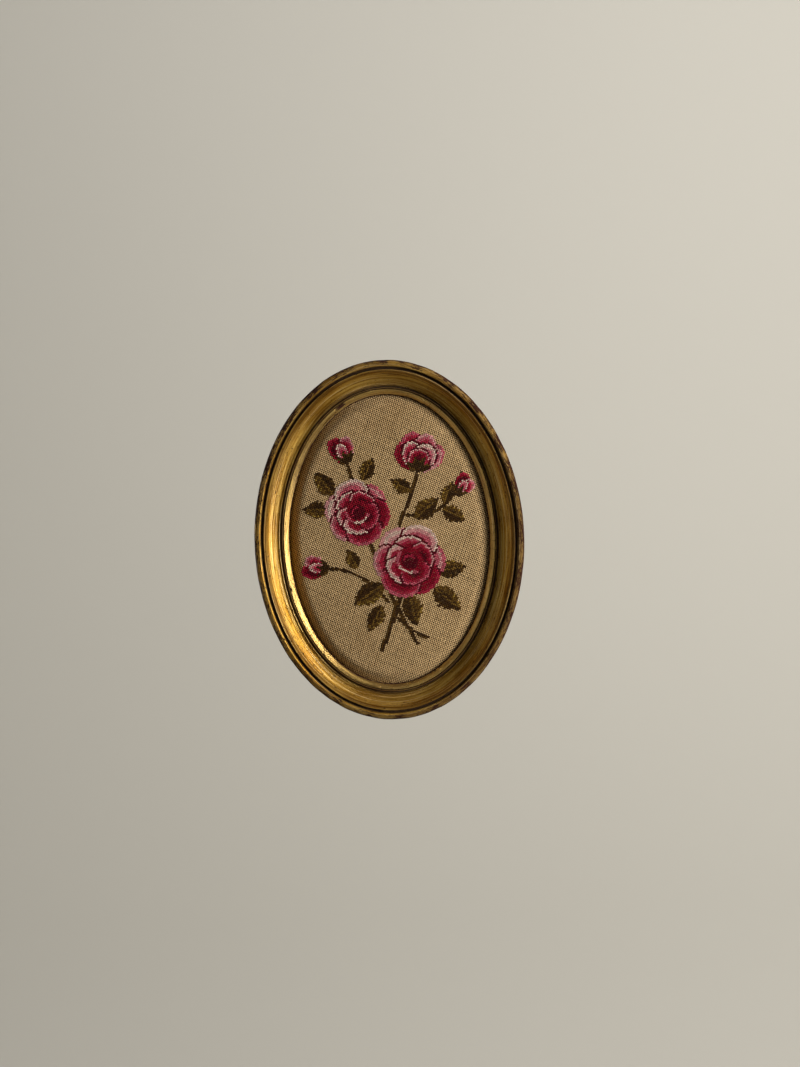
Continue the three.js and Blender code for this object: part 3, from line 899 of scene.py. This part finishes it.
def rose_spray(x, z):
    """The yarn of the stitch at each place, or -1 where the canvas stays bare."""
    yarn = np.full(len(x), -1)
    for points, width in STEMS:
        stem(yarn, x, z, points, width)
    for cx, cz, angle, length, width, light in LEAVES:
        leaf(yarn, x, z, cx, cz, angle, length, width, light=light)
    for flower, places in ((bud, BUDS), (half_rose, HALF_ROSES), (rose, ROSES)):
        for cx, cz, size, angle in places:
            flower(yarn, x, z, cx, cz, size, angle)
    return yarn


def stitches():
    """Tent stitches of yarn, one piece for each shade."""
    rng = np.random.default_rng(21)
    counted = np.arange(-GRID_REACH, GRID_REACH + 1, dtype=float)
    u, v = (grid.ravel() for grid in np.meshgrid(counted, counted, indexing="ij"))
    x, z = on_cloth(u, v)
    inside = (x / CROWN_RADIUS) ** 2 + (z / (CROWN_RADIUS + OVALITY)) ** 2 < 1
    u, v, x, z = u[inside], v[inside], x[inside], z[inside]
    yarn = rose_spray(x, z)

    # Stations along half a stitch each way, where its ends are lower and narrower
    stations = np.array([-1.0, -YARN_LEVEL, YARN_LEVEL, 1.0])
    at_end = np.abs(stations) > 0.9
    lift = np.where(at_end, -YARN_END_DROP, 0.0)
    narrow = np.where(at_end, YARN_END_WIDTH, 1.0)
    angle = np.linspace(0, math.pi, TUBE_CORNERS)
    above = (1 + YARN_BELLY) * np.sin(angle) - YARN_BELLY
    # Painted shade: most on the yarn's sides and at its ends
    painted_yarn_shade = 0.55 * (1 - np.sin(angle)) + 0.45 * at_end[:, None]
    per_stitch = len(stations) * TUBE_CORNERS
    pieces = []
    for shade, (name, colour) in YARNS.items():
        chosen = yarn == shade
        count = int(chosen.sum())
        each = (count, 1)
        reach_u = STITCH_REACH * (1 + rng.normal(0, 0.05, each))
        reach_v = STITCH_REACH * (1 + rng.normal(0, 0.05, each))
        mid_u = u[chosen][:, None] + rng.normal(0, 0.03, each)
        mid_v = v[chosen][:, None] + rng.normal(0, 0.03, each)
        line_x, line_z = on_cloth(mid_u + stations * reach_u, mid_v + stations * reach_v)
        run = np.stack([line_x[:, -1] - line_x[:, 0], line_z[:, -1] - line_z[:, 0]], 1)
        run /= np.linalg.norm(run, axis=1)[:, None]
        half_width = YARN_HALF_WIDTH * (1 + rng.normal(0, 0.07, each)) * narrow
        half_thickness = YARN_HALF_THICKNESS * (1 + rng.normal(0, 0.08, each)) * narrow
        rise = YARN_RISE * (1 + rng.normal(0, 0.06, each)) + lift
        across = np.cos(angle) * half_width[..., None]
        px = line_x[..., None] - run[:, 1][:, None, None] * across
        pz = line_z[..., None] + run[:, 0][:, None, None] * across
        up = rise[..., None] + above * half_thickness[..., None]
        points = place(px, pz, cloth_height(px, pz) - WEAVE_LEVEL + up)
        starts = np.arange(count) * per_stitch
        faces = (tube_faces(len(stations)) + starts[:, None, None]).reshape(-1, 4)
        piece = make_mesh("stitches_" + name, points, faces, yarn_material("yarn_" + name, colour))
        set_attribute(piece, "tone", np.repeat(rng.uniform(0, 1, count), per_stitch))
        set_attribute(piece, "low", np.tile(painted_yarn_shade.ravel(), count))
        pieces.append(piece)
    return pieces


# The set, in metres: floor and backdrop in one sweep, and soft light that comes mostly from the right

FLOOR_HEIGHT = -1.4
SWEEP_FRONT, SWEEP_BACK, SWEEP_TOP = -5.0, 1.3, 3.0
SWEEP_HALF_WIDTH = 5.0
SWEEP_BEND = 0.7
BEND_STEPS = 12


def studio_sweep():
    """A pale floor that turns up into a backdrop, well behind the object."""
    bend_start = SWEEP_BACK - SWEEP_BEND
    outline = [(SWEEP_FRONT, FLOOR_HEIGHT), (bend_start, FLOOR_HEIGHT)]
    for angle in np.linspace(0, math.pi / 2, BEND_STEPS + 1)[1:]:
        rise = SWEEP_BEND * (1 - math.cos(angle))
        outline.append((bend_start + SWEEP_BEND * math.sin(angle), FLOOR_HEIGHT + rise))
    outline.append((SWEEP_BACK, SWEEP_TOP))
    points = [(side * SWEEP_HALF_WIDTH, y, z) for y, z in outline for side in (-1, 1)]
    faces = [(2 * k, 2 * k + 1, 2 * k + 3, 2 * k + 2) for k in range(len(outline) - 1)]
    paint = Paint("pale_sweep")
    soft = paint.noise(0.6, 1.0)
    paint.set(Base_Color=paint.mix(soft, srgb(180, 178, 171), srgb(190, 188, 181)), Roughness=0.95)
    sweep = make_mesh("studio_sweep", points, faces, paint.material)


def area_light(name, location, target, size, power, colour):
    """A rectangular light of a width, a height and so many watts, turned towards a target."""
    light = bpy.data.lights.new(name, "AREA")
    light.shape = "RECTANGLE"
    light.size, light.size_y = size
    light.energy = power
    light.color = colour
    lamp = bpy.data.objects.new(name, light)
    lamp.location = location
    lamp.rotation_euler = (Vector(target) - Vector(location)).to_track_quat("-Z", "Y").to_euler()
    bpy.context.scene.collection.objects.link(lamp)


def lights():
    """A window on the right, a wash on the backdrop, light from behind, a weak fill, and the room."""
    centre = (0, 0, -CENTRE_BELOW_ORIGIN * MM)
    area_light("window", (1.60, -0.86, 0.30), centre, (0.5, 1.5), 75, (1.0, 0.965, 0.91))
    area_light("backdrop_wash", (0.6, 0.1, 1.9), (0, 1.4, -0.6), (2.5, 1.2), 17, (1.0, 0.98, 0.95))
    area_light("behind", (-1.3, 1.0, 0.3), (-1.3, 0, 0.3), (0.8, 0.8), 24, (1.0, 0.98, 0.95))
    area_light("fill", (-1.6, -1.0, -0.1), centre, (1.6, 1.6), 5, (1.0, 0.97, 0.92))
    world = bpy.data.worlds.new("room_light")
    world.use_nodes = True
    background = world.node_tree.nodes["Background"]
    background.inputs["Color"].default_value = (0.62, 0.58, 0.52, 1)
    background.inputs["Strength"].default_value = 0.19
    bpy.context.scene.world = world


# The camera is a little above the frame's axis and to the right of it, and the object leans to the left
PHOTO_WIDTH, PHOTO_HEIGHT = 800, 1067
OBJECT_PIXEL = (389.1, 540.8)  # middle of the oval in the photograph
FRAME_HEIGHT_PIXELS = 361.0  # height of the frame in the photograph
MM_PER_PIXEL = 2 * HALF_HEIGHT / FRAME_HEIGHT_PIXELS
CAMERA_DISTANCE = 800.0
CAMERA_RIGHT = math.radians(1.0)
CAMERA_ABOVE = math.radians(3.0)
CAMERA_ROLL = math.radians(-1.85)
OUTLINE_HEIGHT = 18.2  # how far from the wall the outline lies that was measured
SENSOR = 36.0  # the sensor's width


def camera():
    """The camera at the photograph's angle, distance and crop."""
    data = bpy.data.cameras.new("camera")
    data.sensor_width = SENSOR
    data.lens = SENSOR * CAMERA_DISTANCE / (PHOTO_HEIGHT * MM_PER_PIXEL)
    eye = bpy.data.objects.new("camera", data)
    bpy.context.scene.collection.objects.link(eye)
    bpy.context.scene.camera = eye
    back = Vector((
        math.sin(CAMERA_RIGHT) * math.cos(CAMERA_ABOVE),
        -math.cos(CAMERA_RIGHT) * math.cos(CAMERA_ABOVE),
        math.sin(CAMERA_ABOVE),
    ))
    middle = Vector(place(0.0, 0.0, OUTLINE_HEIGHT))
    turned = (-back).to_track_quat("-Z", "Y").to_matrix() @ Matrix.Rotation(CAMERA_ROLL, 3, "Z")
    right, up = turned.col[0], turned.col[1]
    off_right = (PHOTO_WIDTH / 2 - OBJECT_PIXEL[0]) * MM_PER_PIXEL * MM
    off_up = (OBJECT_PIXEL[1] - PHOTO_HEIGHT / 2) * MM_PER_PIXEL * MM
    eye.location = middle + back * CAMERA_DISTANCE * MM + right * off_right + up * off_up
    eye.rotation_euler = turned.to_euler()


# Making everything

camera()
lights()
studio_sweep()
bpy.context.scene.view_settings.view_transform = "Standard"

wood = gilt_frame()
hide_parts("oval_frame")
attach(wood, "root")

ground = canvas_ground()
weft = thread_material("weft_linen", -WEFT_ANGLE)
warp = thread_material("warp_linen", -WARP_ANGLE)
threads = [
    weave_threads("weft_threads_even", True, 0, weft, 31),
    weave_threads("weft_threads_odd", True, 1, weft, 32),
    weave_threads("warp_threads_even", False, 0, warp, 33),
    weave_threads("warp_threads_odd", False, 1, warp, 34),
]
worked = stitches()
for piece in [ground] + threads + worked:
    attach(piece, "root")
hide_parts("embroidered_canvas")

for node, finish in (("crowned_board", board_material()), ("sawtooth_hanger", hanger_material())):
    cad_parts[node].data.materials.clear()
    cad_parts[node].data.materials.append(finish)
